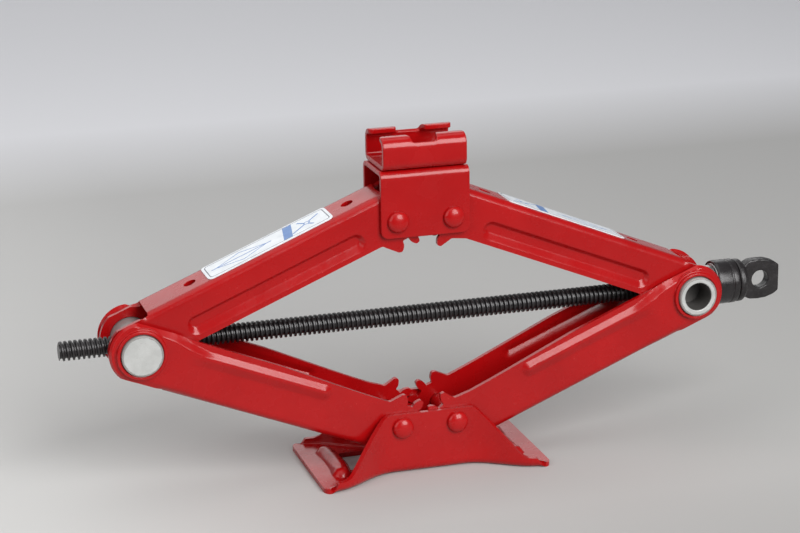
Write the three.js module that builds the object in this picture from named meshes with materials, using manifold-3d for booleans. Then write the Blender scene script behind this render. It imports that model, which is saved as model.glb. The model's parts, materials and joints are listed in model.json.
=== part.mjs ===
// Screw-driven scissor jack: two pairs of pressed steel arms on a stamped base, with a saddle on top.
// Millimetres, +Z up. The origin is on the ground under the middle of the base, +X points along the
// screw towards the crank eye, and the jack is shown part way up.

import * as THREE from 'three';
import { mergeVertices } from 'three/addons/utils/BufferGeometryUtils.js';
import Module from 'manifold-3d';

const wasm = await Module();
wasm.setup();

// ---------------------------------------------------------------- driving dimensions

const SHEET = 3;                      // steel sheet of the arms, base, bracket and saddle
const GAP = 0.3;                      // clearance between neighbouring pieces

// The four-bar linkage
const ARM_LENGTH = 172;               // trunnion axis to gear pivot
const REST_ANGLE = THREE.MathUtils.degToRad(22.2);
const GEAR_PITCH_RADIUS = 17.56;      // half the distance between the two pivots of a pair
const BASE_PIVOT_Z = 29.7;
const SCREW_Z = BASE_PIVOT_Z + ARM_LENGTH * Math.sin(REST_ANGLE);
const HEAD_PIVOT_Z = 2 * SCREW_Z - BASE_PIVOT_Z;
const TRUNNION_X = GEAR_PITCH_RADIUS + ARM_LENGTH * Math.cos(REST_ANGLE);

// Arms: channels with two walls, a web across them and gear teeth round the pivot
const LOWER_ARM = {
  side: 1,                            // web below the pivot line
  halfWidth: 19.5,
  webOuter: 18.8,
  edge: [[158, 12.6], [122, 13.3], [104, 15.3], [32, 15.8], [17, 17.1]],
  earRadius: 19,
  earTop: 17.1,
  webStart: 21,
  webEnd: 150,
  emboss: { from: 50, to: 122, low: 1.5, high: 12.4, outwards: true, ear: true },
  collar: true,
  webHoles: [],
};
const UPPER_ARM = {
  side: -1,                           // web above the pivot line
  halfWidth: 16,
  webOuter: 18.5,
  edge: [[158, 11], [33, 10.6], [17, 15.5], [9.2, 16.1]],
  earRadius: 18.5,
  earTop: 18.2,
  webStart: 14,
  webEnd: 172,
  emboss: { from: 31, to: 150, low: -4.5, high: 8, outwards: false, ear: false },
  collar: false,
  webHoles: [45, 151],
};
const EMBOSS_HEIGHT = 3;
const EMBOSS_INSET = 1.2;             // the sunk side's outline lies this far inside the proud side's
const EAR_RIM = 0.5;                  // flat rim left round the raised ear
const WEB_HOLE_RADIUS = 3.8;
const PIVOT_END_RADIUS = 16.8;        // wall end below the gear teeth
const COLLAR_RADIUS = 15;
const COLLAR_REACH = 25;              // half-width over the two collars

// Gear sectors: 10 teeth to a full turn, 4 of them cut, half a tooth apart on the two walls
const TEETH_PER_TURN = 10;
const TEETH_CUT = 4;
const TOOTH_STEP = (2 * Math.PI) / TEETH_PER_TURN;
const PRESSURE_ANGLE = THREE.MathUtils.degToRad(25);
const GEAR_MODULE = (2 * GEAR_PITCH_RADIUS) / TEETH_PER_TURN;
const GEAR_TIP_RADIUS = GEAR_PITCH_RADIUS + 0.72 * GEAR_MODULE;
const GEAR_ROOT_RADIUS = GEAR_PITCH_RADIUS - 1.17 * GEAR_MODULE;
const TOOTH_BACKLASH = 0.018;         // radians taken off each flank
const TOOTH_ROUNDING = 1.1;           // height of the chamfered tip
const NEAR_RAMP_FOOT = [160, 12.9];   // the last tooth of each wall slopes down to the free edge here
const FAR_RAMP_FOOT = [167, 13.4];
const NEAR_FIRST_TOOTH = THREE.MathUtils.degToRad(-2.6);
const FAR_FIRST_TOOTH = NEAR_FIRST_TOOTH - TOOTH_STEP / 2;

// Base stamping
const BASE = {
  waistHalfWidth: 22.9,
  waistHalfLength: 22,
  footHalfWidth: 42,
  footStart: 66,
  halfLength: 72.7,
  cornerRadius: 5,
  wallTop: 38.3,
  wallTopHalfLength: 28.3,
  wallCorner: 7,
  slopeEnd: 56,
  rimTop: 5.5,
};
const BASE_WINDOW = { from: 27, to: 49.5, halfWidth: 15.5 };
const BASE_BEAD = { from: 50.5, to: 60.5, halfWidth: 22, rise: 4, slope: 3 };

// Top bracket and saddle
const BRACKET = { halfLength: 28, halfWidth: 19.1, sheet: 2.8, rise: 31, drop: 10.3, bend: 4.5, corner: 5 };
const SADDLE = {
  halfLength: 26.3,
  halfWidth: 19.5,
  height: 19.9,
  topCorner: 6.5,
  bottomCorner: 4.8,
  lipEdge: 10,
  lipCorner: 3,
};
const SADDLE_NOTCH = { depth: 3.4, bottomHalfLength: 7.6, topHalfLength: 9.2 };
const SADDLE_RIVET = { radius: 5, headRadius: 8, headHeight: 2.4, tailRadius: 7.5, tailHeight: 2 };

// Pivot rivets
const RIVET = { radius: 5, headRadius: 6.65, headHeight: 4 };

// Trunnions and screw
const TRUNNION_RADIUS = 12.5;
const TRUNNION_REACH = 26.5;          // half-length across the jack
const TRUNNION_RECESS = { radius: 8.8, depth: 18 };
const SCREW_RADIUS = 6;
const SCREW_LEFT_END = -222.3;
const SCREW_RIGHT_END = 216.5;

// Thrust bearing stack on the screw, outwards from the right trunnion
const SPACER = { from: TRUNNION_X + TRUNNION_RADIUS - 2, to: 197, radius: 11.5 };
const RACE_INNER = { from: 197.3, to: 199.5, radius: 12.4 };
const BALLS = { centre: 202.4, ballRadius: 2.5, pitchRadius: 9.6, count: 8, cageHalf: 0.8, cageIn: 7.4, cageOut: 11.8 };
const RACE_OUTER = { from: 205.3, to: 207.5, radius: 12.4 };
const COVER = { from: 197.6, endPlate: 207.8, to: 212.2, radius: 14.2, wall: 1.4 };
const STOP_RING = { from: 160.4, to: 163.6, radius: 11 };

// Crank eye
const EYE = {
  shoulderFrom: 212.5,
  shoulderTo: 218.3,
  shoulderRadius: 13.8,
  holeX: 230.2,
  holeRadius: 5.7,
  thickness: 7.4,
  halfHeights: [[215, 10.6], [219, 12], [223.4, 12.8], [229, 13], [234, 12.6], [238, 11.6], [241, 10.3], [243.2, 8.6]],
};
const EYE_PIN = { x: 215.2, radius: 1.5, halfLength: 12 };

// Stickers on the webs of the upper arms
const LABEL = { from: 55, to: 139, halfWidth: 12.5, corner: 4, thickness: 0.3 };

// ---------------------------------------------------------------- materials

const redPaint = () => new THREE.MeshStandardMaterial({ color: 0xb8141a, roughness: 0.28, metalness: 0.1 });
const brightSteel = () => new THREE.MeshStandardMaterial({ color: 0xc6c7c2, roughness: 0.38, metalness: 0.9 });
const blackOxide = () => new THREE.MeshStandardMaterial({ color: 0x26242a, roughness: 0.45, metalness: 0.7 });
const stickerFilm = () => new THREE.MeshStandardMaterial({ color: 0xe9edf2, roughness: 0.35, metalness: 0 });

// ---------------------------------------------------------------- solids from three.js geometry

function solid(geometry) {
  const bare = geometry.index ? geometry.toNonIndexed() : geometry.clone();
  for (const name of Object.keys(bare.attributes)) {
    if (name !== 'position') bare.deleteAttribute(name);
  }
  const merged = mergeVertices(bare, 1e-4);
  return new wasm.Manifold(new wasm.Mesh({
    numProp: 3,
    vertProperties: new Float32Array(merged.attributes.position.array),
    triVerts: new Uint32Array(merged.index.array),
  }));
}

function joined(solids) {
  return solids.reduce((whole, piece) => whole.add(piece));
}

function cut(whole, tools) {
  return tools.reduce((rest, tool) => rest.subtract(tool), whole);
}

function named(name, body, material) {
  const mesh = body.getMesh();
  const geometry = new THREE.BufferGeometry();
  geometry.setAttribute('position', new THREE.BufferAttribute(new Float32Array(mesh.vertProperties), 3));
  geometry.setIndex(new THREE.BufferAttribute(new Uint32Array(mesh.triVerts), 1));
  geometry.computeVertexNormals();
  const part = new THREE.Mesh(geometry, material);
  part.name = name;
  return part;
}

// Outline in X and Y, extruded up Z
function alongZ(shape, from, to, curveSegments = 12) {
  const geometry = new THREE.ExtrudeGeometry(shape, { depth: to - from, bevelEnabled: false, curveSegments });
  return geometry.translate(0, 0, from);
}

// Outline in X and Z, extruded along Y
function alongY(shape, from, to, curveSegments = 12) {
  return alongZ(shape, -to, -from, curveSegments).rotateX(Math.PI / 2);
}

// Outline in Y and Z, extruded along X
function alongX(shape, from, to, curveSegments = 12) {
  const turn = new THREE.Matrix4().makeBasis(
    new THREE.Vector3(0, 1, 0),
    new THREE.Vector3(0, 0, 1),
    new THREE.Vector3(1, 0, 0),
  );
  return alongZ(shape, from, to, curveSegments).applyMatrix4(turn);
}

function block(xFrom, xTo, yFrom, yTo, zFrom, zTo) {
  return new THREE.BoxGeometry(xTo - xFrom, yTo - yFrom, zTo - zFrom)
    .translate((xFrom + xTo) / 2, (yFrom + yTo) / 2, (zFrom + zTo) / 2);
}

// Round bar between two places on its axis; the axis is x, y or z
function bar(axis, radius, from, to, segments = 28) {
  const geometry = new THREE.CylinderGeometry(radius, radius, to - from, segments);
  geometry.translate(0, (from + to) / 2, 0);
  if (axis === 'x') geometry.rotateZ(-Math.PI / 2);
  if (axis === 'z') geometry.rotateX(Math.PI / 2);
  return geometry;
}

// Turned piece on the X axis. The [x, radius] profile runs up the outside; it starts and ends on the
// axis, or it is closed round a bore.
function turnedOnX(profile, segments = 28) {
  const closed = profile[0][1] > 0 ? [...profile, profile[0]] : profile;
  const points = closed.map(([x, radius]) => new THREE.Vector2(radius, x));
  return new THREE.LatheGeometry(points, segments).rotateZ(-Math.PI / 2);
}

function washer({ from, to, radius }, bore) {
  return turnedOnX([[from, bore], [from, radius], [to, radius], [to, bore]]);
}

function outline(points) {
  return new THREE.Shape(points.map(([x, y]) => new THREE.Vector2(x, y)));
}

function polar(radius, angle) {
  return [radius * Math.cos(angle), radius * Math.sin(angle)];
}

function arc(radius, from, to, steps) {
  return Array.from({ length: steps + 1 }, (_, i) => polar(radius, from + ((to - from) * i) / steps));
}

// ---------------------------------------------------------------- gear teeth

// Half the angle that a tooth fills at a radius: involute flanks, radial below the base circle
function toothHalfAngle(radius) {
  const baseRadius = GEAR_PITCH_RADIUS * Math.cos(PRESSURE_ANGLE);
  const pressure = radius > baseRadius ? Math.acos(baseRadius / radius) : 0;
  const involute = (angle) => Math.tan(angle) - angle;
  return TOOTH_STEP / 4 + involute(PRESSURE_ANGLE) - involute(pressure) - TOOTH_BACKLASH;
}

// Points of the cut teeth, turning from the first tooth to the last
function gearSector(firstTooth) {
  const flankSteps = 3;
  const flankEnd = GEAR_TIP_RADIUS - TOOTH_ROUNDING;
  const flank = Array.from({ length: flankSteps + 1 }, (_, i) => {
    const radius = GEAR_ROOT_RADIUS + ((flankEnd - GEAR_ROOT_RADIUS) * i) / flankSteps;
    return [radius, toothHalfAngle(radius)];
  });
  flank.push([GEAR_TIP_RADIUS, toothHalfAngle(flankEnd) - TOOTH_ROUNDING / GEAR_TIP_RADIUS]);
  const points = [];
  for (let tooth = 0; tooth < TEETH_CUT; tooth += 1) {
    const centre = firstTooth + tooth * TOOTH_STEP;
    points.push(polar(GEAR_ROOT_RADIUS, centre - TOOTH_STEP / 2));
    flank.forEach(([radius, half]) => points.push(polar(radius, centre - half)));
    [...flank].reverse().forEach(([radius, half]) => points.push(polar(radius, centre + half)));
  }
  const [x, y] = firstTooth === NEAR_FIRST_TOOTH ? NEAR_RAMP_FOOT : FAR_RAMP_FOOT;
  return [...points.slice(0, -flank.length + 1), [x - ARM_LENGTH, y]];
}

// ---------------------------------------------------------------- arms

// Side view of one wall: x runs from the trunnion to the gear pivot, y away from the web
function armOutline(arm, firstTooth) {
  const earStep = 1.2;                // the ear's lower edge lies this far inside the web
  const endArc = arc(PIVOT_END_RADIUS, -1.75, firstTooth - TOOTH_STEP / 2, 4);
  const pivotEnd = [...endArc, ...gearSector(firstTooth)].map(([x, y]) => [x + ARM_LENGTH, y]);
  const ear = arc(arm.earRadius, Math.PI - Math.asin(arm.earTop / arm.earRadius), 1.4 * Math.PI, 12);
  const points = [
    [10, -arm.webOuter + earStep],
    [20, -arm.webOuter],
    [150, -arm.webOuter],
    ...pivotEnd,
    ...arm.edge,
    ...ear,
  ];
  return outline(points.map(([x, y]) => [x, arm.side * y]));
}

// Outline of the band along the free edge; a band that starts at the ear raises the whole ear
function embossShape(arm) {
  const { from, to, low, high, ear } = arm.emboss;
  const radius = (high - low) / 2;
  const middle = (low + high) / 2;
  const shape = new THREE.Shape();
  shape.absarc(to - radius, middle, radius, -Math.PI / 2, Math.PI / 2);
  if (ear) {
    shape.lineTo(34, high);
    shape.lineTo(18, arm.earTop - EAR_RIM - 0.5);
    shape.lineTo(-7, arm.earTop - EAR_RIM);
    shape.absarc(0, 0, arm.earRadius - EAR_RIM, 0.65 * Math.PI, 1.68 * Math.PI);
    shape.lineTo(from, low);
  } else {
    shape.absarc(from + radius, middle, radius, Math.PI / 2, 1.5 * Math.PI);
  }
  return shape;
}

// Solid that stands EMBOSS_HEIGHT on both faces of the plane y = centre, its outline drawn in by inset
function embossPad(arm, centre, inset) {
  const halfFlat = 0.25;
  const geometry = new THREE.ExtrudeGeometry(embossShape(arm), {
    depth: 2 * halfFlat,
    curveSegments: 8,
    bevelThickness: EMBOSS_HEIGHT,
    bevelSize: EMBOSS_HEIGHT,
    bevelOffset: -EMBOSS_HEIGHT - inset,
    bevelSegments: 1,
  });
  geometry.translate(0, 0, -halfFlat).rotateX(Math.PI / 2).translate(0, centre, 0);
  if (arm.side < 0) geometry.rotateX(Math.PI);
  return solid(geometry);
}

// The band is pressed through the sheet: proud on one face and sunk into the other
function embossed(arm, walls) {
  const faces = [arm.halfWidth, arm.halfWidth - SHEET];
  const [proud, sunk] = arm.emboss.outwards ? faces : faces.reverse();
  let body = walls;
  for (const sign of [-1, 1]) {
    body = body.add(embossPad(arm, sign * proud, 0)).subtract(embossPad(arm, sign * sunk, EMBOSS_INSET));
  }
  return body;
}

function armBody(arm) {
  const { halfWidth, side } = arm;
  const inner = halfWidth - SHEET;
  const nearWall = solid(alongY(armOutline(arm, NEAR_FIRST_TOOTH), -halfWidth, -inner));
  const farWall = solid(alongY(armOutline(arm, FAR_FIRST_TOOTH), inner, halfWidth));
  const webLevels = [-side * arm.webOuter, -side * (arm.webOuter - SHEET)].sort((a, b) => a - b);
  const web = solid(block(arm.webStart, arm.webEnd, -halfWidth, halfWidth, ...webLevels));
  let body = embossed(arm, joined([nearWall, farWall])).add(web);
  if (arm.collar) {
    body = joined([body, ...[-1, 1].map((sign) => {
      const ends = [sign * (halfWidth - 1), sign * COLLAR_REACH].sort((a, b) => a - b);
      return solid(bar('y', COLLAR_RADIUS, ...ends));
    })]);
  }
  const past = 40;
  const bores = [
    bar('y', TRUNNION_RADIUS + GAP, -past, past),
    bar('y', RIVET.radius + GAP, -past, past, 20).translate(ARM_LENGTH, 0, 0),
    ...arm.webHoles.map((x) => bar('z', WEB_HOLE_RADIUS, -past, past, 16).translate(x, 0, 0)),
  ];
  return cut(body, bores.map(solid));
}

const lowerArm = armBody(LOWER_ARM);
const upperArm = armBody(UPPER_ARM);

function labelPlate() {
  const { from, to, halfWidth, corner, thickness } = LABEL;
  const shape = new THREE.Shape();
  shape.moveTo(from + corner, -halfWidth);
  shape.lineTo(to - corner, -halfWidth);
  shape.quadraticCurveTo(to, -halfWidth, to, -halfWidth + corner);
  shape.lineTo(to, halfWidth - corner);
  shape.quadraticCurveTo(to, halfWidth, to - corner, halfWidth);
  shape.lineTo(from + corner, halfWidth);
  shape.quadraticCurveTo(from, halfWidth, from, halfWidth - corner);
  shape.lineTo(from, -halfWidth + corner);
  shape.quadraticCurveTo(from, -halfWidth, from + corner, -halfWidth);
  const level = UPPER_ARM.webOuter + GAP;
  return solid(alongZ(shape, level, level + thickness, 4));
}

// ---------------------------------------------------------------- base

// Half-width of the base at a distance from its middle: waisted, flaring into the two feet
function baseHalfWidth(x) {
  const t = THREE.MathUtils.clamp((Math.abs(x) - BASE.waistHalfLength) / (BASE.footStart - BASE.waistHalfLength), 0, 1);
  const ease = (1 - Math.cos(Math.PI * t)) / 2;
  return BASE.waistHalfWidth + (BASE.footHalfWidth - BASE.waistHalfWidth) * ease;
}

function basePlan(inset, endX, corner) {
  const steps = 10;
  const quarter = [];
  for (let i = 0; i <= steps; i += 1) {
    const x = BASE.waistHalfLength + ((BASE.footStart - BASE.waistHalfLength) * i) / steps;
    const slope = (baseHalfWidth(x + 0.5) - baseHalfWidth(x - 0.5));
    quarter.push([x, baseHalfWidth(x) - inset * Math.hypot(1, slope)]);
  }
  const footHalfWidth = BASE.footHalfWidth - inset;
  for (const [x, y] of arc(corner, Math.PI / 2, 0, 4)) {
    quarter.push([endX - corner + x, footHalfWidth - corner + y]);
  }
  const rightUpper = quarter;
  const rightLower = quarter.map(([x, y]) => [x, -y]).reverse();
  const right = [...rightUpper, ...rightLower];
  const left = right.map(([x, y]) => [-x, -y]);
  return outline([...right, ...left].reverse());
}

function baseSideView() {
  const { wallTop, wallTopHalfLength, wallCorner, slopeEnd, rimTop, halfLength } = BASE;
  const past = 5;
  const shape = new THREE.Shape();
  shape.moveTo(-halfLength - past, -past);
  shape.lineTo(halfLength + past, -past);
  shape.lineTo(halfLength + past, rimTop);
  shape.lineTo(slopeEnd, rimTop);
  shape.lineTo(wallTopHalfLength + 0.55 * wallCorner, wallTop - 0.75 * wallCorner);
  shape.quadraticCurveTo(wallTopHalfLength, wallTop, wallTopHalfLength - wallCorner, wallTop);
  shape.lineTo(-wallTopHalfLength + wallCorner, wallTop);
  shape.quadraticCurveTo(-wallTopHalfLength, wallTop, -wallTopHalfLength - 0.55 * wallCorner, wallTop - 0.75 * wallCorner);
  shape.lineTo(-slopeEnd, rimTop);
  shape.lineTo(-halfLength - past, rimTop);
  return shape;
}

// Cross bead pressed up beside each window; drop shifts it down to shape the underside
function beadRidge(sign, drop) {
  const { from, to, halfWidth, rise, slope } = BASE_BEAD;
  const foot = SHEET - 1 - drop;
  const top = SHEET + rise - drop;
  const section = outline([[from, foot], [to, foot], [to - slope, top], [from + slope, top]]);
  const reach = halfWidth - drop;
  const ridge = alongY(section, -reach, reach);
  if (sign < 0) ridge.rotateZ(Math.PI);
  return solid(ridge);
}

function baseBody() {
  const past = 30;
  const plan = solid(alongZ(basePlan(0, BASE.halfLength, BASE.cornerRadius), 0, BASE.wallTop));
  const inside = solid(alongZ(basePlan(SHEET, BASE.halfLength + past, 1), SHEET, BASE.wallTop + past));
  const sideView = solid(alongY(baseSideView(), -past * 2, past * 2, 6));
  let body = plan.subtract(inside).intersect(sideView);
  for (const sign of [-1, 1]) {
    const hollow = beadRidge(sign, SHEET).intersect(solid(block(-past * 4, past * 4, -past, past, -past, past)));
    body = body.add(beadRidge(sign, 0)).subtract(hollow);
    const window = block(BASE_WINDOW.from, BASE_WINDOW.to, -BASE_WINDOW.halfWidth, BASE_WINDOW.halfWidth, -past, past);
    body = body.subtract(solid(sign < 0 ? window.rotateZ(Math.PI) : window));
    const bore = bar('y', RIVET.radius + GAP, -past * 2, past * 2, 20).translate(sign * GEAR_PITCH_RADIUS, 0, BASE_PIVOT_Z);
    body = body.subtract(solid(bore));
  }
  return body;
}

// ---------------------------------------------------------------- bracket, saddle and rivets

const BRACKET_TOP = HEAD_PIVOT_Z + BRACKET.rise;

function bracketBody() {
  const { halfLength, halfWidth, sheet, drop, bend, corner } = BRACKET;
  const bottom = HEAD_PIVOT_Z - drop;
  const channel = (offset, low) => {
    const half = halfWidth - offset;
    const top = BRACKET_TOP - offset;
    const radius = bend - offset;
    const shape = new THREE.Shape();
    shape.moveTo(-half, low);
    shape.lineTo(half, low);
    shape.lineTo(half, top - radius);
    shape.absarc(half - radius, top - radius, radius, 0, Math.PI / 2);
    shape.lineTo(-half + radius, top);
    shape.absarc(-half + radius, top - radius, radius, Math.PI / 2, Math.PI);
    return shape;
  };
  const past = 10;
  const side = new THREE.Shape();
  side.moveTo(-halfLength, BRACKET_TOP + past);
  side.lineTo(-halfLength, bottom + corner);
  side.absarc(-halfLength + corner, bottom + corner, corner, Math.PI, 1.5 * Math.PI);
  side.absarc(halfLength - corner, bottom + corner, corner, 1.5 * Math.PI, 2 * Math.PI);
  side.lineTo(halfLength, BRACKET_TOP + past);
  const body = solid(alongX(channel(0, bottom), -halfLength, halfLength, 4))
    .subtract(solid(alongX(channel(sheet, bottom - past), -halfLength - past, halfLength + past, 4)))
    .intersect(solid(alongY(side, -halfWidth - past, halfWidth + past, 4)));
  const bores = [-1, 1].map((sign) => (
    solid(bar('y', RIVET.radius + GAP, -60, 60, 20).translate(sign * GEAR_PITCH_RADIUS, 0, HEAD_PIVOT_Z))
  ));
  const centre = solid(bar('z', SADDLE_RIVET.radius + GAP, BRACKET_TOP - past, BRACKET_TOP + past, 20));
  return cut(body, [...bores, centre]);
}

// C section with its open side up; the lips curl in to a flat top edge, notched across the middle
function saddleBody() {
  const { halfLength, halfWidth, height, topCorner, bottomCorner, lipEdge, lipCorner } = SADDLE;
  const low = BRACKET_TOP + GAP;
  const top = low + height;
  const section = (offset) => {
    const half = halfWidth - offset;
    const upper = topCorner - offset;
    const lower = bottomCorner - offset;
    const shape = new THREE.Shape();
    shape.absarc(half - lower, low + offset + lower, lower, -Math.PI / 2, 0);
    shape.absarc(half - upper, top - offset - upper, upper, 0, Math.PI / 2);
    shape.absarc(-half + upper, top - offset - upper, upper, Math.PI / 2, Math.PI);
    shape.absarc(-half + lower, low + offset + lower, lower, Math.PI, 1.5 * Math.PI);
    return shape;
  };
  const past = 10;
  const tube = solid(alongX(section(0), -halfLength, halfLength, 6))
    .subtract(solid(alongX(section(SHEET), -halfLength - past, halfLength + past, 6)));
  // Plan with rounded corners, which the lips end in
  const plan = new THREE.Shape();
  plan.absarc(halfLength - lipCorner, lipEdge + lipCorner, lipCorner, -Math.PI / 2, 0);
  plan.lineTo(halfLength, halfWidth + past);
  plan.lineTo(-halfLength, halfWidth + past);
  plan.absarc(-halfLength + lipCorner, lipEdge + lipCorner, lipCorner, Math.PI, 1.5 * Math.PI);
  const farLip = solid(alongZ(plan, top - topCorner, top + past, 4));
  const walls = solid(block(-halfLength, halfLength, -halfWidth, halfWidth, low - past, top - topCorner));
  const nearLip = farLip.rotate([0, 0, 180]);
  const { depth, bottomHalfLength, topHalfLength } = SADDLE_NOTCH;
  const slopePast = ((topHalfLength - bottomHalfLength) * past) / depth;
  const notch = alongY(outline([
    [-bottomHalfLength, top - depth],
    [bottomHalfLength, top - depth],
    [topHalfLength + slopePast, top + past],
    [-topHalfLength - slopePast, top + past],
  ]), -past * 3, past * 3);
  const bore = solid(bar('z', SADDLE_RIVET.radius + GAP, low - past, low + past / 2, 20));
  return cut(tube.intersect(joined([walls, farLip, nearLip])), [solid(notch), bore]);
}

// Domed rivet lying across the jack; face is the outer face that its heads sit on
function pivotRivet(face) {
  const { radius, headRadius, headHeight } = RIVET;
  const domeSteps = 4;
  const foot = face + GAP;
  const dome = arc(1, 0, Math.PI / 2, domeSteps).map(([across, up]) => [foot + headHeight * up, headRadius * across]);
  dome[domeSteps][1] = 0;
  const right = [[foot, radius], ...dome];
  const left = right.map(([y, r]) => [-y, r]).reverse();
  const points = [...left, ...right].map(([y, r]) => new THREE.Vector2(r, y));
  return solid(new THREE.LatheGeometry(points, 20));
}

function saddleRivet() {
  const { radius, headRadius, headHeight, tailRadius, tailHeight } = SADDLE_RIVET;
  const floor = BRACKET_TOP + GAP + SHEET + GAP;
  const ceiling = BRACKET_TOP - BRACKET.sheet - GAP;
  return solid(new THREE.LatheGeometry([
    new THREE.Vector2(0, ceiling - tailHeight),
    new THREE.Vector2(tailRadius - 1, ceiling - tailHeight),
    new THREE.Vector2(tailRadius, ceiling),
    new THREE.Vector2(radius, ceiling),
    new THREE.Vector2(radius, floor),
    new THREE.Vector2(headRadius, floor),
    new THREE.Vector2(0.8 * headRadius, floor + 0.7 * headHeight),
    new THREE.Vector2(0.4 * headRadius, floor + headHeight),
    new THREE.Vector2(0, floor + headHeight),
  ], 20).rotateX(Math.PI / 2));
}

// ---------------------------------------------------------------- trunnions and screw

const SCREW_BORE = SCREW_RADIUS + GAP;

function trunnionBody(recessed) {
  const whole = solid(bar('y', TRUNNION_RADIUS, -TRUNNION_REACH, TRUNNION_REACH, 36));
  const tools = [solid(bar('x', SCREW_BORE, -30, 30, 24))];
  if (recessed) {
    const { radius, depth } = TRUNNION_RECESS;
    const past = 2;
    tools.push(solid(bar('y', radius, -TRUNNION_REACH - past, -TRUNNION_REACH + depth, 28)));
    tools.push(solid(bar('y', radius, TRUNNION_REACH - depth, TRUNNION_REACH + past, 28)));
    // Flat seat for the thrust spacer
    tools.push(solid(block(TRUNNION_RADIUS - 2.3, 30, -TRUNNION_RADIUS - 1, TRUNNION_RADIUS + 1, -30, 30)));
  }
  return cut(whole, tools);
}

function screwBody() {
  const rod = solid(bar('x', SCREW_RADIUS, SCREW_LEFT_END, SCREW_RIGHT_END, 24));
  const pinHole = solid(bar('z', EYE_PIN.radius + GAP, -20, 20, 16).translate(EYE_PIN.x, 0, 0));
  return rod.subtract(pinHole);
}

function ballCage() {
  const { centre, ballRadius, pitchRadius, count, cageHalf, cageIn, cageOut } = BALLS;
  const ring = { from: centre - cageHalf, to: centre + cageHalf, radius: cageOut };
  let body = solid(washer(ring, cageIn));
  for (let ball = 0; ball < count; ball += 1) {
    const [y, z] = polar(pitchRadius, (2 * Math.PI * ball) / count);
    body = body.add(solid(new THREE.SphereGeometry(ballRadius, 7, 5).translate(centre, y, z)));
  }
  return body;
}

function coverBody() {
  const { from, endPlate, to, radius, wall } = COVER;
  return solid(turnedOnX([
    [from, radius - wall],
    [from, radius],
    [to - 1, radius],
    [to, radius - 1],
    [to, SCREW_BORE],
    [endPlate, SCREW_BORE],
    [endPlate, radius - wall],
  ], 32));
}

function eyeBody() {
  const { shoulderFrom, shoulderTo, shoulderRadius, holeX, holeRadius, thickness, halfHeights } = EYE;
  const shoulder = solid(turnedOnX([
    [shoulderFrom, 0],
    [shoulderFrom, shoulderRadius],
    [shoulderTo - 1.5, shoulderRadius],
    [shoulderTo + 2, shoulderRadius - 4],
    [shoulderTo + 2, 0],
  ]));
  const half = thickness / 2;
  const lowerEdge = halfHeights.map(([x, z]) => [x, -z]);
  const plate = solid(alongY(outline([...lowerEdge, ...[...halfHeights].reverse()]), -half, half));
  const hole = solid(bar('y', holeRadius, -20, 20, 28).translate(holeX, 0, 0));
  const socket = solid(bar('x', SCREW_BORE, shoulderFrom - 5, SCREW_RIGHT_END + GAP, 24));
  const pinHole = solid(bar('z', EYE_PIN.radius + GAP, -20, 20, 16).translate(EYE_PIN.x, 0, 0));
  return cut(joined([shoulder, plate]), [hole, socket, pinHole]);
}

// ---------------------------------------------------------------- assembly

const jack = new THREE.Group();

jack.add(named('base_plate', baseBody(), redPaint()));

for (const [side, turn] of [['left', 0], ['right', Math.PI]]) {
  const half = new THREE.Group();
  half.rotation.z = turn;

  const lower = new THREE.Group();
  lower.position.set(-TRUNNION_X, 0, SCREW_Z);
  lower.rotation.y = REST_ANGLE;
  lower.add(named(`lower_${side}_arm`, lowerArm, redPaint()));
  half.add(lower);

  const upper = new THREE.Group();
  upper.position.set(-TRUNNION_X, 0, SCREW_Z);
  upper.rotation.y = -REST_ANGLE;
  upper.add(named(`upper_${side}_arm`, upperArm, redPaint()));
  upper.add(named(`label_${side}`, labelPlate(), stickerFilm()));
  half.add(upper);

  const baseRivet = named(`base_rivet_${side}`, pivotRivet(BASE.waistHalfWidth), redPaint());
  baseRivet.position.set(-GEAR_PITCH_RADIUS, 0, BASE_PIVOT_Z);
  half.add(baseRivet);

  const topRivet = named(`top_rivet_${side}`, pivotRivet(BRACKET.halfWidth), redPaint());
  topRivet.position.set(-GEAR_PITCH_RADIUS, 0, HEAD_PIVOT_Z);
  half.add(topRivet);

  jack.add(half);
}

jack.add(named('top_bracket', bracketBody(), redPaint()));
jack.add(named('saddle', saddleBody(), redPaint()));
jack.add(named('saddle_rivet', saddleRivet(), redPaint()));

const leftTrunnion = named('left_trunnion_nut', trunnionBody(false), brightSteel());
leftTrunnion.position.set(-TRUNNION_X, 0, SCREW_Z);
const rightTrunnion = named('right_trunnion', trunnionBody(true), brightSteel());
rightTrunnion.position.set(TRUNNION_X, 0, SCREW_Z);
jack.add(leftTrunnion, rightTrunnion);

const screwLine = new THREE.Group();
screwLine.position.z = SCREW_Z;
screwLine.add(
  named('screw_rod', screwBody(), blackOxide()),
  named('stop_ring', solid(washer(STOP_RING, SCREW_BORE)), blackOxide()),
  named('thrust_spacer', solid(washer(SPACER, SCREW_BORE)), brightSteel()),
  named('thrust_race_inner', solid(washer(RACE_INNER, SCREW_BORE)), brightSteel()),
  named('thrust_ball_cage', ballCage(), brightSteel()),
  named('thrust_race_outer', solid(washer(RACE_OUTER, SCREW_BORE)), brightSteel()),
  named('thrust_cover', coverBody(), blackOxide()),
  named('crank_eye', eyeBody(), blackOxide()),
  named('eye_pin', solid(bar('z', EYE_PIN.radius, -EYE_PIN.halfLength, EYE_PIN.halfLength, 16).translate(EYE_PIN.x, 0, 0)), blackOxide()),
);
jack.add(screwLine);

export default jack;
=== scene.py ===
import json
import math

import bmesh
import bpy
import numpy as np
from mathutils import Matrix, Vector
from mathutils.geometry import delaunay_2d_cdt


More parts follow.
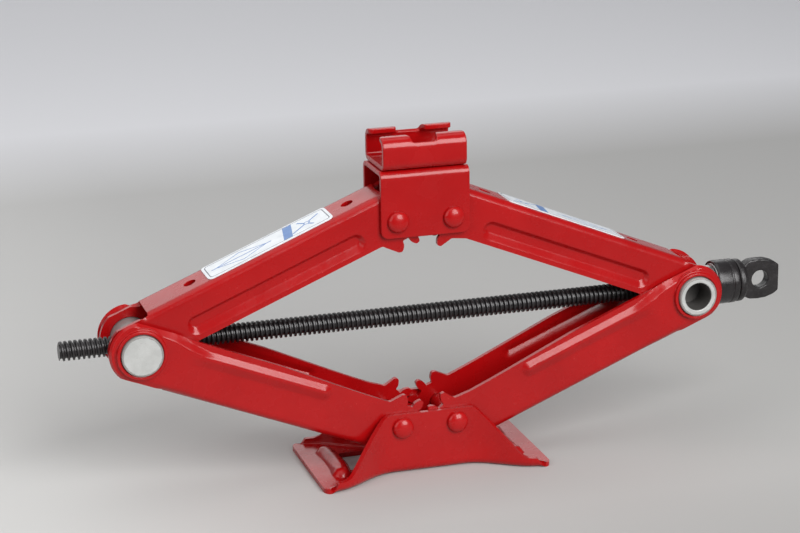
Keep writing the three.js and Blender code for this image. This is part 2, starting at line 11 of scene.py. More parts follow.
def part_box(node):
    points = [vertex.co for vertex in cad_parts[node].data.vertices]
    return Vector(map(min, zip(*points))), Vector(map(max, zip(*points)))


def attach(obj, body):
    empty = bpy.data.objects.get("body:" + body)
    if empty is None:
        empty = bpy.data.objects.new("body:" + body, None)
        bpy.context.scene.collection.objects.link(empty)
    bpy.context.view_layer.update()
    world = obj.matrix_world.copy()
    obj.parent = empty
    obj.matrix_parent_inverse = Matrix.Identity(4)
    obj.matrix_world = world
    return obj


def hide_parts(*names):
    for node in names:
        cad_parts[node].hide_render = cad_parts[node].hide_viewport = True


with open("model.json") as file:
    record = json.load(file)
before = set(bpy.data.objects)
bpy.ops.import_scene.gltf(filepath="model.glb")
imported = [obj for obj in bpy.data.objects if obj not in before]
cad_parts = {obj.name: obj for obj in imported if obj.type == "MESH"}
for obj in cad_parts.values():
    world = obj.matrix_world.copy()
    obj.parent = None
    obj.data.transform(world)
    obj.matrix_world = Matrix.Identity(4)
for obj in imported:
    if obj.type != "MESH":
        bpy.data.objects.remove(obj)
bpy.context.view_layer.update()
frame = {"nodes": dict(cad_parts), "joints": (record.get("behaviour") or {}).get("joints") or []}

# Lengths below are in millimetres and become metres where a mesh is made.
MM = 0.001
PI = math.pi
rad = math.radians

joints = {j["name"]: Vector(j["pos_m"]) / MM for j in frame["joints"]}
TRUNNION = joints["upper_left_swing"]
BASE_PIVOT = joints["lift"]
HEAD_PIVOT = joints["head_level"]
ARM = (BASE_PIVOT - TRUNNION).length
REST = math.atan2(TRUNNION.z - BASE_PIVOT.z, BASE_PIVOT.x - TRUNNION.x)


def node_box(name):
    """Lowest and highest corner of a CAD node, in millimetres."""
    low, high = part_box(name)
    return Vector(low) / MM, Vector(high) / MM


def added(name, data):
    thing = bpy.data.objects.new(name, data)
    bpy.context.scene.collection.objects.link(thing)
    return thing


# ---------------- camera

def add_camera():
    azimuth, elevation, roll = -0.29334, 0.28417, -0.015083
    reach = math.cos(elevation)
    forward = Vector((-math.sin(azimuth) * reach, math.cos(azimuth) * reach, -math.sin(elevation)))
    level = Vector((math.cos(azimuth), math.sin(azimuth), 0.0))
    upright = level.cross(forward)
    right = level * math.cos(roll) + upright * math.sin(roll)
    up = upright * math.cos(roll) - level * math.sin(roll)
    data = bpy.data.cameras.new("camera")
    data.sensor_width = 36.0
    data.lens = 100.96
    data.clip_start = 0.05
    data.clip_end = 30.0
    camera = added("camera", data)
    turn = Matrix((right, up, -forward)).transposed().to_4x4()
    camera.matrix_world = Matrix.Translation(Vector((-392.28, -1262.24, 511.14)) * MM) @ turn
    bpy.context.scene.camera = camera


add_camera()


# ---------------- materials

class Shader:
    """A node material on one Principled shader, with short calls for its nodes."""

    def __init__(self, name):
        self.material = bpy.data.materials.new(name)
        self.material.use_nodes = True
        self.nodes = self.material.node_tree.nodes
        self.links = self.material.node_tree.links
        self.bsdf = self.nodes["Principled BSDF"]
        self.coords = self.nodes.new("ShaderNodeTexCoord").outputs["Object"]

    def link(self, source, target):
        self.links.new(source, target)

    def put(self, **values):
        for key, value in values.items():
            self.bsdf.inputs[key.replace("_", " ")].default_value = value

    def scaled(self, scale, shift=(0.0, 0.0, 0.0)):
        node = self.nodes.new("ShaderNodeMapping")
        node.inputs["Scale"].default_value = scale
        node.inputs["Location"].default_value = shift
        self.link(self.coords, node.inputs["Vector"])
        return node.outputs["Vector"]

    def apart(self, vector):
        """The three axes of a vector, each a socket."""
        node = self.nodes.new("ShaderNodeSeparateXYZ")
        self.link(vector, node.inputs[0])
        return node.outputs

    def noise(self, scale, detail, roughness, vector=None):
        node = self.nodes.new("ShaderNodeTexNoise")
        node.inputs["Scale"].default_value = scale
        node.inputs["Detail"].default_value = detail
        node.inputs["Roughness"].default_value = roughness
        self.link(vector or self.coords, node.inputs["Vector"])
        return node.outputs["Fac"]

    def ramp(self, source, stops):
        node = self.nodes.new("ShaderNodeValToRGB")
        while len(node.color_ramp.elements) < len(stops):
            node.color_ramp.elements.new(0.5)
        for element, (position, value) in zip(node.color_ramp.elements, stops):
            element.position = position
            element.color = (*value, 1.0) if isinstance(value, tuple) else (value, value, value, 1.0)
        self.link(source, node.inputs["Fac"])
        return node.outputs["Color"]

    def feed(self, value, socket):
        """Links a socket to another node's, or gives it a plain value."""
        if hasattr(value, "is_linked"):
            self.link(value, socket)
        else:
            socket.default_value = (*value, 1.0) if isinstance(value, tuple) else value

    def mix(self, factor, a, b):
        node = self.nodes.new("ShaderNodeMix")
        node.data_type = "RGBA"
        for value, place in ((factor, 0), (a, 6), (b, 7)):
            self.feed(value, node.inputs[place])
        return node.outputs[2]

    def math(self, operation, a, b=0.0):
        node = self.nodes.new("ShaderNodeMath")
        node.operation = operation
        for value, socket in zip((a, b), node.inputs):
            self.feed(value, socket)
        return node.outputs[0]

    def bump(self, height, strength, distance, below=None):
        node = self.nodes.new("ShaderNodeBump")
        node.inputs["Strength"].default_value = strength
        node.inputs["Distance"].default_value = distance
        self.link(height, node.inputs["Height"])
        if below:
            self.link(below, node.inputs["Normal"])
        self.link(node.outputs["Normal"], self.bsdf.inputs["Normal"])
        return node.outputs["Normal"]

    def colour(self, source):
        self.link(source, self.bsdf.inputs["Base Color"])

    def rough(self, source, low, high):
        self.link(self.ramp(source, [(0.3, low), (0.7, high)]), self.bsdf.inputs["Roughness"])


def red_paint(name, shift):
    """Glossy stove enamel over pressed sheet: slight orange peel, dust and tiny chips."""
    shader = Shader(name)
    place = shader.scaled((1.0, 1.0, 1.0), shift)
    cloud = shader.noise(22.0, 3.0, 0.55, place)
    tone = shader.ramp(cloud, [(0.3, (0.325, 0.0022, 0.0030)), (0.7, (0.385, 0.0032, 0.0040))])
    grain = shader.noise(900.0, 2.0, 0.6, place)
    speck = shader.ramp(grain, [(0.745, 0.0), (0.775, 1.0)])
    shader.colour(shader.mix(speck, tone, (0.70, 0.10, 0.09)))
    haze = shader.noise(60.0, 4.0, 0.6, place)
    shader.rough(haze, 0.22, 0.32)
    shader.put(Metallic=0.0, Specular_IOR_Level=0.25, Coat_Weight=0.25, Coat_Roughness=0.06)
    peel = shader.noise(420.0, 2.0, 0.5, place)
    wave = shader.noise(55.0, 1.0, 0.5, place)
    first = shader.bump(wave, 0.35, 0.0012)
    shader.bump(peel, 0.16, 0.00035, first)
    return shader.material


def bright_steel(name, radius, bore):
    """Turned bar end, bright on its face, with dark scale at its rim and painted shade inside its bore."""
    shader = Shader(name)
    parts = shader.apart(shader.coords)
    squares = [shader.math("MULTIPLY", parts[axis], parts[axis]) for axis in "XZ"]
    distance = shader.math("DIVIDE", shader.math("SQRT", shader.math("ADD", *squares)), radius * MM)
    ragged = shader.noise(420.0, 4.0, 0.65)
    edge = shader.math("ADD", distance, shader.math("MULTIPLY", ragged, 0.16))
    rim = shader.ramp(edge, [(0.5, 0.0), (1.0, 0.0), (1.0, 1.0)])
    rim_node = rim.node.color_ramp.elements
    rim_node[1].position = 0.985
    rim_node[2].position = 1.0
    cloud = shader.noise(130.0, 4.0, 0.6)
    face = shader.ramp(cloud, [(0.3, (0.45, 0.455, 0.44)), (0.72, (0.56, 0.565, 0.55))])
    pits = shader.ramp(shader.noise(1500.0, 2.0, 0.5), [(0.68, 0.0), (0.74, 1.0)])
    worn = shader.mix(pits, face, (0.40, 0.39, 0.37))
    scaled = shader.mix(shader.math("MULTIPLY", rim, 0.6), worn, (0.14, 0.11, 0.10))
    # painted shade: everything nearer the axis than the bore's radius is painted dark, for the shade deep
    # in the hollow trunnion's recess
    depth = shader.math("LESS_THAN", distance, bore / radius)
    shader.colour(shader.mix(depth, scaled, (0.10, 0.095, 0.09)))
    shader.rough(shader.noise(300.0, 3.0, 0.6), 0.34, 0.56)
    shader.put(Metallic=0.3)
    shader.bump(shader.noise(800.0, 4.0, 0.6), 0.25, 0.00025)
    return shader.material


def ground_steel(name):
    """Ground bearing steel with fine rings."""
    shader = Shader(name)
    fine = shader.noise(500.0, 3.0, 0.6, shader.scaled((8.0, 1.0, 1.0)))
    shader.colour(shader.ramp(fine, [(0.3, (0.42, 0.42, 0.42)), (0.7, (0.60, 0.60, 0.59))]))
    shader.rough(fine, 0.22, 0.4)
    shader.put(Metallic=1.0)
    shader.bump(fine, 0.15, 0.0001)
    return shader.material


def black_steel(name, gloss, hammered):
    """Black oxide with an oily sheen, paler where it is rubbed, and uneven where it was forged."""
    shader = Shader(name)
    cloud = shader.noise(90.0, 4.0, 0.6)
    tone = shader.ramp(cloud, [(0.3, (0.009, 0.0075, 0.008)), (0.7, (0.021, 0.018, 0.019))])
    rub = shader.ramp(shader.noise(700.0, 3.0, 0.6), [(0.6, 0.0), (0.78, 0.55)])
    shader.colour(shader.mix(rub, tone, (0.055, 0.05, 0.055)))
    shader.rough(shader.noise(260.0, 3.0, 0.6), gloss, gloss + 0.16)
    shader.put(Metallic=0.1, Specular_IOR_Level=0.45, Coat_Weight=0.15, Coat_Roughness=0.2)
    fine = shader.bump(shader.noise(1100.0, 3.0, 0.6), 0.3, 0.00012)
    shader.bump(shader.noise(240.0, 2.0, 0.5), 0.6, hammered * MM, fine)
    return shader.material


def film(name, low, high, gloss):
    """Printed film in one ink, slightly uneven."""
    shader = Shader(name)
    cloud = shader.noise(160.0, 4.0, 0.6)
    shader.colour(shader.ramp(cloud, [(0.3, low), (0.7, high)]))
    shader.rough(shader.noise(420.0, 3.0, 0.6), gloss, gloss + 0.12)
    shader.put(Coat_Weight=0.3, Coat_Roughness=0.12)
    shader.bump(shader.noise(600.0, 2.0, 0.5), 0.08, 0.0001)
    return shader.material


PAINT = [red_paint("paint_%d" % i, (0.037 * i, 0.019 * i, 0.011 * i)) for i in range(4)]
BAR = 12.5  # radius of the trunnions
TRUNNION_STEEL = bright_steel("trunnion_steel", BAR, 0.0)
# the right trunnion's steel, with painted shade inside its 8.95 mm recess
HOLLOW_STEEL_SHADED_BORE = bright_steel("hollow_steel_shaded_bore", BAR, 8.95)
BEARING_STEEL = ground_steel("bearing_steel")
SCREW_BLACK = black_steel("screw_black", 0.30, 0.05)
FORGED_BLACK = black_steel("forged_black", 0.30, 1.1)
TURNED_BLACK = black_steel("turned_black", 0.22, 0.04)
FILM_WHITE = film("film_white", (0.66, 0.70, 0.74), (0.80, 0.83, 0.86), 0.28)
FILM_BLUE = film("film_blue", (0.03, 0.14, 0.42), (0.05, 0.20, 0.52), 0.3)
FILM_DARK = film("film_dark", (0.03, 0.035, 0.06), (0.05, 0.055, 0.09), 0.34)


# ---------------- making pieces

def polar(radius, angle, centre=(0.0, 0.0)):
    return (centre[0] + radius * math.cos(angle), centre[1] + radius * math.sin(angle))


def arc(radius, start, end, steps, centre=(0.0, 0.0)):
    return [polar(radius, start + (end - start) * i / steps, centre) for i in range(steps + 1)]


def circle(radius, steps, centre=(0.0, 0.0)):
    """An arc all the way round, as a loop whose last point isn't its first."""
    return arc(radius, 0, 2 * PI, steps, centre)[:-1]


def smooth(t):
    """A rise from 0 to 1 that starts and ends level."""
    t = min(max(t, 0.0), 1.0)
    return t * t * (3.0 - 2.0 * t)


def ramp(t, soft=0.12):
    """A straight rise from 0 to 1 with short rounded ends."""
    t = min(max(t, 0.0), 1.0)
    if t > 0.5:
        return 1.0 - ramp(1.0 - t, soft)
    if t < soft:
        return t * t / (2 * soft * (1 - soft))
    return (t - soft / 2) / (1 - soft)


def filleted(corners, closed=True, steps=4):
    """Rounds each (x, y, radius) corner of a path, in the plane of a sheet or of a lathe profile."""
    path = []
    count = len(corners)
    for i, (x, y, radius) in enumerate(corners):
        here = Vector((x, y))
        back = Vector(corners[i - 1][:2]) - here
        on = Vector(corners[(i + 1) % count][:2]) - here
        reach = 0.0
        if radius > 0 and (closed or 0 < i < count - 1) and min(back.length, on.length) >= 1e-6:
            half = back.angle(on) / 2
            reach = min(radius / max(math.tan(half), 1e-6), 0.47 * back.length, 0.47 * on.length)
        if reach < 0.02:
            path.append((x, y))
            continue
        first = here + back.normalized() * reach
        last = here + on.normalized() * reach
        for k in range(steps + 1):
            t = k / steps
            point = first * (1 - t) ** 2 + here * (2 * t * (1 - t)) + last * t ** 2
            path.append((point.x, point.y))
    return path


def divided(loop, step, closed=True):
    """Adds points so that no side of a loop is longer than step."""
    path = []
    ends = loop[1:] + loop[:1] if closed else loop[1:]
    for (ax, ay), (bx, by) in zip(loop, ends):
        length = math.hypot(bx - ax, by - ay)
        if length < 1e-4:
            continue
        parts = max(1, math.ceil(length / step))
        path += [(ax + (bx - ax) * k / parts, ay + (by - ay) * k / parts) for k in range(parts)]
    if not closed:
        path.append(loop[-1])
    return path


def drop_loose(grid):
    loose = [v for v in grid.verts if not v.link_faces]
    bmesh.ops.delete(grid, geom=loose, context="VERTS")


def chunks(points):
    return np.array_split(points, max(1, len(points) // 3000))


def both_sides(values):
    return [sign * v for sign in (-1, 1) for v in values]


def inside(points, a, b):
    """Which points lie inside the outline made of the segments a to b, by counting crossings."""
    result = []
    for chunk in chunks(points):
        x, y = chunk[:, :1], chunk[:, 1:]
        crosses = (a[:, 1] > y) != (b[:, 1] > y)
        rise = np.where(np.abs(b[:, 1] - a[:, 1]) < 1e-12, 1.0, b[:, 1] - a[:, 1])
        at = a[:, 0] + (y - a[:, 1]) * (b[:, 0] - a[:, 0]) / rise
        result.append((crosses & (x < at)).sum(1) % 2 == 1)
    return np.concatenate(result)


def far_from(points, a, b, gap):
    """Which points are at least gap away from all segments."""
    result = []
    along = b - a
    square = np.maximum((along ** 2).sum(1), 1e-12)
    for chunk in chunks(points):
        offset = chunk[:, None, :] - a
        t = np.clip((offset * along).sum(2) / square, 0.0, 1.0)
        distance = np.sqrt(((offset - along * t[:, :, None]) ** 2).sum(2))
        result.append(distance.min(1) >= gap)
    return np.concatenate(result)


def object_of(name, mesh, body, paint, origin=(0.0, 0.0, 0.0)):
    """A piece of the visual model that rides on a body; paint is one material or a list."""
    piece = added(name, mesh)
    piece.location = Vector(origin) * MM
    for material in paint if isinstance(paint, list) else [paint]:
        mesh.materials.append(material)
    bpy.context.view_layer.update()
    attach(piece, body)
    return piece


SLIVER = 0.003  # smaller triangles between points in a row are left out


def joined(loops):
    """The points of all the loops in one list, and their sides as pairs of places in it."""
    points, edges = [], []
    for loop in loops:
        start = len(points)
        points += loop
        edges += [(start + i, start + (i + 1) % len(loop)) for i in range(len(loop))]
    return points, edges


def meshed(points, edges):
    """Corners and faces of a plane mesh that keeps all the edges."""
    vertices, _, faces, _, _, _ = delaunay_2d_cdt([Vector(p) for p in points], edges, [], 0, 1e-6)
    return np.array([tuple(v) for v in vertices]), faces


def triangulated(loops, interior, clear):
    """Triangles that fill the loops, the first of which is the outline, through the interior points."""
    points, edges = joined(loops)
    flat = np.array(points)
    a = flat[[e[0] for e in edges]]
    b = flat[[e[1] for e in edges]]
    if interior:
        extra = np.array(interior)
        extra = extra[inside(extra, a, b)]
        extra = extra[far_from(extra, a, b, clear)]
        points += [tuple(p) for p in extra]
    flat, faces = meshed(points, edges)
    corners = flat[np.array([list(f) for f in faces])]
    one, two = corners[:, 1] - corners[:, 0], corners[:, 2] - corners[:, 0]
    area = np.abs(one[:, 0] * two[:, 1] - one[:, 1] * two[:, 0]) / 2
    keep = inside(corners.mean(1), a, b) & (area > SLIVER)
    return [tuple(p) for p in flat], [tuple(f) for f, k in zip(faces, keep) if k]


def shade(mesh, sharp=None):
    """Smooth shading, with edges kept sharp from an angle in degrees on."""
    mesh.polygons.foreach_set("use_smooth", [True] * len(mesh.polygons))
    if sharp:
        mesh.set_sharp_from_angle(angle=rad(sharp))


def sheet_mesh(name, loops, interior, place, flip, clear=1.1):
    """A pressed sheet's outer face: a flat blank cut by the loops, bent and drawn by place()."""
    flat, faces = triangulated(loops, interior, clear)
    if flip:
        faces = [f[::-1] for f in faces]
    mesh = bpy.data.meshes.new(name)
    mesh.from_pydata([Vector(place(u, s)) * MM for u, s in flat], [], faces)
    mesh.update()
    shade(mesh)
    used = bmesh.new()
    used.from_mesh(mesh)
    drop_loose(used)
    used.to_mesh(mesh)
    used.free()
    return mesh


def thicken(piece, thickness, rounding):
    """Gives a sheet its thickness, inwards from its outer face, and rounds its cut edges."""
    solidify = piece.modifiers.new("sheet", "SOLIDIFY")
    solidify.thickness = thickness * MM
    solidify.offset = -1.0
    solidify.use_even_offset = True
    solidify.use_quality_normals = True
    bevel = piece.modifiers.new("edges", "BEVEL")
    bevel.width = rounding * MM
    bevel.segments = 2
    bevel.limit_method = "ANGLE"
    bevel.angle_limit = rad(50)
    bevel.use_clamp_overlap = True
    bevel.miter_outer = "MITER_SHARP"
    normals = piece.modifiers.new("normals", "WEIGHTED_NORMAL")
    normals.keep_sharp = False
    normals.weight = 60


def mesh_of(grid, name):
    mesh = bpy.data.meshes.new(name)
    grid.to_mesh(mesh)
    grid.free()
    return mesh


def lathe_mesh(name, profile, axis, segments=72, closed=False):
    """Turns an [along, radius] profile round an axis; it starts and ends on the axis, or it is closed."""
    grid = bmesh.new()
    rings = []
    for along, radius in profile:
        if radius < 1e-6:
            rings.append([grid.verts.new(turned(axis, along, 0.0, 0.0))])
            continue
        rings.append([
            grid.verts.new(turned(axis, along, radius, 2 * PI * k / segments)) for k in range(segments)
        ])
    pairs = list(zip(rings, rings[1:]))
    if closed:
        pairs.append((rings[-1], rings[0]))
    for low, high in pairs:
        for k in range(segments):
            on = k + 1
            corners = [low[k % len(low)], low[on % len(low)], high[on % len(high)], high[k % len(high)]]
            unique = list(dict.fromkeys(corners))
            if len(unique) > 2:
                grid.faces.new(unique)
    bmesh.ops.recalc_face_normals(grid, faces=grid.faces)
    mesh = mesh_of(grid, name)
    shade(mesh, 38)
    return mesh


def turned(axis, along, radius, angle):
    across, up = radius * math.cos(angle), radius * math.sin(angle)
    place = {"x": (along, across, up), "y": (up, along, across), "z": (across, up, along)}[axis]
    return Vector(place) * MM


# ---------------- arms

SHEET = 3.0
GEAR_PITCH = -BASE_PIVOT.x
FULL_GEAR = 10  # teeth on a full circle
TEETH = 4
TOOTH_STEP = 2 * PI / FULL_GEAR
MODULE = 2 * GEAR_PITCH / FULL_GEAR
GEAR_TIP = GEAR_PITCH + 0.72 * MODULE
GEAR_ROOT = GEAR_PITCH - 1.17 * MODULE
PRESSURE = rad(25)
BACKLASH = 0.018
FLANK_STEPS = 5
NEAR_RAMP_FOOT = (159.5, 12.6)  # the last tooth of each wall slopes down to the free edge here
FAR_RAMP_FOOT = (167.0, 13.3)
NEAR_TOOTH = rad(-2.6)
FAR_TOOTH = NEAR_TOOTH - TOOTH_STEP / 2
PIVOT_END = 16.8
TRUNNION_HOLE = 12.85
RIVET_HOLE = 5.3
WEB_HOLE = 3.9
BEND = 4.5  # outer radius of the bends
BEND_LENGTH = BEND * PI / 2

LOWER = {
    "half": 19.5, "web": 18.8, "start": 21.0, "end": 150.0, "ear": 19.0, "ear_top": 115.8,
    "edge": [(17, 17.1, 14), (32, 15.8, 20), (84, 15.6, 60), (118, 13.9, 60), (140, 12.9, 30),
             (156, 12.5, 6)],
    "band": (29.0, 122.0, 1.8, 12.6), "slopes": (5.5, 4.4), "rise": 2.8, "taper": 0.35,
    "end_low": 18.2, "holes": [],
}
UPPER = {
    "half": 16.0, "web": 18.5, "start": 14.0, "end": 170.5, "ear": 18.5, "ear_top": 90,
    "edge": [(17, 15.6, 12), (33, 10.9, 20), (158, 10.7, 4)],
    "band": (31.0, 150.0, -4.5, 8.0), "slopes": (2.6, 5.0), "rise": -2.8, "taper": 0.0,
    "end_low": 16.9, "holes": [45.0, 151.0],
}
# The lower arm's whole ear stands out with its band: the raised part's upper foot and crease along the arm
EAR_FOOT = ((-8.0, 17.6), (17.6, 17.4), (25.0, 15.9), (32.0, 14.0), (40.0, 12.6))
EAR_CREASE = ((-8.0, 15.0), (7.0, 13.6), (17.6, 12.6), (25.0, 10.6), (30.0, 9.7), (38.0, 8.3))
EAR_FADE = (25.0, 50.0)  # where the ear's level runs out below the band
EAR_END = 60.0  # from here on the band is on its own
EAR_SLOPE = 1.8  # width of the slope round the ear
EAR_RIM = LOWER["ear"] + 0.4  # radius of that slope's foot
TAPER = (26.0, 48.0)  # the raised part comes down from the ear's level to the band's
SLOPE_LINES = (0.0, 0.15, 0.32, 0.5, 0.68, 0.85, 1.0)  # heights with points of their own
SLOPE_MARGIN = 0.15  # other points stay this far off the slopes, as a part of their width


def tooth_half_angle(radius):
    base = GEAR_PITCH * math.cos(PRESSURE)
    angle = math.acos(base / radius) if radius > base else 0.0
    involute = lambda t: math.tan(t) - t
    return TOOTH_STEP / 4 + involute(PRESSURE) - involute(angle) - BACKLASH


def tooth_path(first):
    """Corners of the teeth, turning from the first tooth to the last."""
    corners = []
    for tooth in range(TEETH):
        middle = first + tooth * TOOTH_STEP
        radii = [GEAR_ROOT + (GEAR_TIP - GEAR_ROOT) * i / FLANK_STEPS for i in range(FLANK_STEPS + 1)]
        rise = [(r, middle - tooth_half_angle(r)) for r in radii]
        fall = [(r, middle + tooth_half_angle(r)) for r in reversed(radii)]
        for r, angle in rise + fall:
            fillet = 1.5 if r == GEAR_TIP else (1.3 if r == GEAR_ROOT else 0.0)
            corners.append((*polar(r, angle, (ARM, 0.0)), fillet))
    return corners


def wall_path(arm, first):
    """Corners of one wall in (along the arm, away from the web), from the web's start round to its end."""
    ear_low = -(arm["web"] - 1.2)
    path = [(arm["start"], ear_low, 2.2), (4.0, ear_low, 8.0)]
    path += [(*p, 0.0) for p in arc(arm["ear"], rad(250), rad(arm["ear_top"]), 30)]
    path += arm["edge"]
    path += [(*(NEAR_RAMP_FOOT if first == NEAR_TOOTH else FAR_RAMP_FOOT), 3.0)]
    path += tooth_path(first)[::-1][FLANK_STEPS:]
    path += [(*p, 0.0) for p in arc(PIVOT_END, first - TOOTH_STEP / 2, -1.8, 12, (ARM, 0.0))]
    path += [(arm["end"] + 8.0, -arm["end_low"] - 0.2, 6.0), (arm["end"] + 1.3, -arm["end_low"], 2.0)]
    return path


def arm_blank(arm):
    """Loops of the arm's flat blank in (along the arm, across the channel)."""
    flat_half = arm["half"] - BEND
    wall_foot = flat_half + BEND_LENGTH

    def across(v):
        return wall_foot + v + arm["web"] - BEND

    far = [(u, across(v), r) for u, v, r in wall_path(arm, FAR_TOOTH)]
    near = [(u, -across(v), r) for u, v, r in wall_path(arm, NEAR_TOOTH)][::-1]
    web_end = [(arm["end"] + 1.3 * (s / flat_half) ** 2, s, 0.0)
               for s in np.linspace(flat_half, -flat_half, 9)]
    loops = [divided(filleted(far + web_end + near), 0.95)]
    for sign in (-1, 1):
        for centre, radius in ((0.0, TRUNNION_HOLE), (ARM, RIVET_HOLE)):
            loops.append(circle(radius, 48, (centre, sign * across(0.0))))
    loops += [circle(WEB_HOLE, 32, (u, 0.0)) for u in arm["holes"]]
    lines = list(np.arange(-flat_half + 1.5, flat_half - 1, 3.0))
    lines += both_sides([flat_half + BEND_LENGTH * k / 6 for k in range(7)])
    lines += both_sides([wall_foot + k for k in np.arange(1.6, 40, 1.6)])
    interior = [
        (u, s) for u in np.arange(-arm["ear"], ARM + GEAR_TIP, 1.7) for s in lines
        if not on_slope(arm, u, abs(s) - wall_foot - arm["web"] + BEND)
    ]
    for sign in (-1, 1):
        for part in SLOPE_LINES:
            interior += [(u, sign * across(v)) for u, v in band_line(arm, part)]
    return loops, interior


def level_at(line, u):
    return float(np.interp(u, *zip(*line)))


def slope_part(arm, u, v):
    """How far up the slope of the pressed band a place on the wall is: 0 at its foot, 1 on the flat."""
    start, end, low, high = arm["band"]
    radius, middle = (high - low) / 2, (low + high) / 2
    nearest = min(max(u, start + radius), end - radius)
    distance = math.hypot(u - nearest, v - middle)
    side = (v - middle) / max(distance, 1e-6)
    below, above = arm["slopes"]
    return (radius - distance) / (below + (above - below) * (1 + side) / 2)


def ear_parts(u, v):
    """The same for the raised ear: up its outer edge, and up the slope below the band."""
    foot, crease = level_at(EAR_FOOT, u), level_at(EAR_CREASE, u)
    outer = (foot - v) / (foot - crease)
    if u < 0:
        outer = min(outer, (EAR_RIM - math.hypot(u, v)) / EAR_SLOPE)
    return outer, (v - LOWER["band"][2]) / LOWER["slopes"][0]


def pressed(arm, u, v):
    """Part of the band's full height at a place on the wall."""
    if arm is UPPER or u > EAR_END:
        return ramp(slope_part(arm, u, v))
    outer, under = ear_parts(u, v)
    start, end = EAR_FADE
    fade = smooth((u - start) / (end - start))
    return ramp(outer) * (1.0 - fade * (1.0 - ramp(under)))


def near_slope(part):
    return -SLOPE_MARGIN < part < 1 + SLOPE_MARGIN


def on_slope(arm, u, v):
    if arm is UPPER or u > EAR_END:
        return near_slope(slope_part(arm, u, v))
    outer, under = ear_parts(u, v)
    return near_slope(outer) or (u > EAR_FADE[0] and near_slope(under) and outer > 0)


def band_line(arm, part):
    """Points at one height of the band's slopes."""
    start, end, low, high = arm["band"]
    radius, middle = (high - low) / 2, (low + high) / 2
    below, above = arm["slopes"]

    def cap(centre, first, last):
        points = []
        for angle in np.linspace(first, last, 17):
            slope = below + (above - below) * (1 + math.sin(angle)) / 2
            points.append(polar(max(radius - slope * part, 0.2), angle, (centre, middle)))
        return points

    right = cap(end - radius, -PI / 2, PI / 2)
    if arm is UPPER:
        return divided(right + cap(start + radius, PI / 2, 1.5 * PI), 1.6)
    under = [(u, low + below * part) for u in np.arange(end - radius, EAR_FADE[0], -1.7)]
    over = []
    for u in np.arange(-8.0, end - radius, 1.7):
        foot, crease = level_at(EAR_FOOT, u), level_at(EAR_CREASE, u)
        over.append((u, foot + (crease - foot) * part))
    ear = arc(EAR_RIM - EAR_SLOPE * part, rad(112), rad(252), 40)
    return divided(right, 1.6, False) + under + over + ear


def arm_place(arm, mirrored):
    """The function that bends the blank of a left arm into its place on the jack at rest."""
    flat_half = arm["half"] - BEND
    along = Vector((math.cos(REST), 0.0, math.sin(REST) if mirrored else -math.sin(REST)))
    away = Vector((math.sin(REST), 0.0, -math.cos(REST) if mirrored else math.cos(REST)))

    def place(u, s):
        reach = abs(s) - flat_half
        sign = 1.0 if s > 0 else -1.0
        y, v = abs(s), -arm["web"]
        if reach > 0:
            flat_v = -arm["web"] + BEND + reach - BEND_LENGTH
            share = min(1.0, reach / BEND_LENGTH)
            if reach < BEND_LENGTH:
                turn = reach / BEND
                y = flat_half + BEND * math.sin(turn)
                v = -arm["web"] + BEND - BEND * math.cos(turn)
                bent = smooth((u - arm["start"] + 6.0) / 5.5) * smooth((arm["end"] + 8.0 - u) / 6.0)
                y = arm["half"] + (y - arm["half"]) * bent
                v = flat_v + (v - flat_v) * bent
            else:
                y, v = arm["half"], flat_v
            level = 1.0 - arm["taper"] * smooth((u - TAPER[0]) / (TAPER[1] - TAPER[0]))
            y += arm["rise"] * level * pressed(arm, u, flat_v) * share
        point = TRUNNION + along * u + away * v
        return (point.x, sign * y, point.z)

    return place


def opposite(mesh):
    """The same pressing turned half round for the other side of the jack."""
    copy = mesh.copy()
    copy.transform(Matrix.Rotation(PI, 4, "Z"))
    return copy


def add_arms():
    for kind, arm, mirrored in (("lower", LOWER, False), ("upper", UPPER, True)):
        loops, interior = arm_blank(arm)
        mesh = sheet_mesh(kind + "_arm_sheet", loops, interior, arm_place(arm, mirrored), flip=not mirrored)
        tones = PAINT[2:] if mirrored else PAINT[:2]
        for side, shape, paint in (("left", mesh, tones[0]), ("right", opposite(mesh), tones[1])):
            body = kind + "_" + side
            piece = object_of(body + "_arm_sheet", shape, body, paint)
            thicken(piece, SHEET, 0.7)
            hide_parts(body + "_arm")


def add_collars():
    """Collars drawn outwards round the trunnion holes of the lower arms."""
    wall, reach, bore, outer = LOWER["half"], 25.0, 12.9, 15.0
    face = wall + LOWER["rise"]
    corners = [
        (wall, bore, 0.3), (wall, 16.2, 0.2), (face + 0.02, 16.4, 0.1),
        (face + 0.06, outer, 1.2), (reach, outer, 0.7), (reach, bore, 0.8),
    ]
    for side, x in (("left", TRUNNION.x), ("right", -TRUNNION.x)):
        for end, sign in (("near", -1), ("far", 1)):
            profile = [(sign * along, radius) for along, radius in filleted(corners)]
            mesh = lathe_mesh("collar", profile, "y", 96, closed=True)
            name = "lower_%s_collar_%s" % (side, end)
            object_of(name, mesh, "lower_" + side, PAINT[0], (x, 0.0, TRUNNION.z))


# ---------------- base

BASE_LENGTH = 72.7
FOOT = 42.0
WAIST = 22.9
FLARE_START, FLARE_LENGTH = 22.0, 44.0
FOOT_CORNER = 5.0
WALL_TOP = node_box("base_plate")[1].z
RIM_FADE = (63.0, 70.0)  # where the rim runs out into the flat foot


def base_half(x):
    """Half the base's width: the waist in the middle, flaring out to the feet."""
    t = min(max((abs(x) - FLARE_START) / FLARE_LENGTH, 0.0), 1.0)
    return WAIST + (FOOT - WAIST) * (1 - math.cos(PI * t)) / 2


def base_foot(x):
    """Where the bend up into the wall begins."""
    slope = base_half(abs(x) + 0.5) - base_half(abs(x) - 0.5)
    return base_half(x) - BEND * math.hypot(1.0, slope)


def base_across(x, z):
    """Place on the blank of a height on the wall."""
    if z >= BEND:
        return base_foot(x) + BEND_LENGTH + z - BEND
    return base_foot(x) + BEND * math.acos(1 - z / BEND)


def base_fade(x):
    """Part of the full bend at the rim: 1 along the base, 0 at its ends."""
    start, end = RIM_FADE
    return 1.0 - smooth((abs(x) - start) / (end - start))


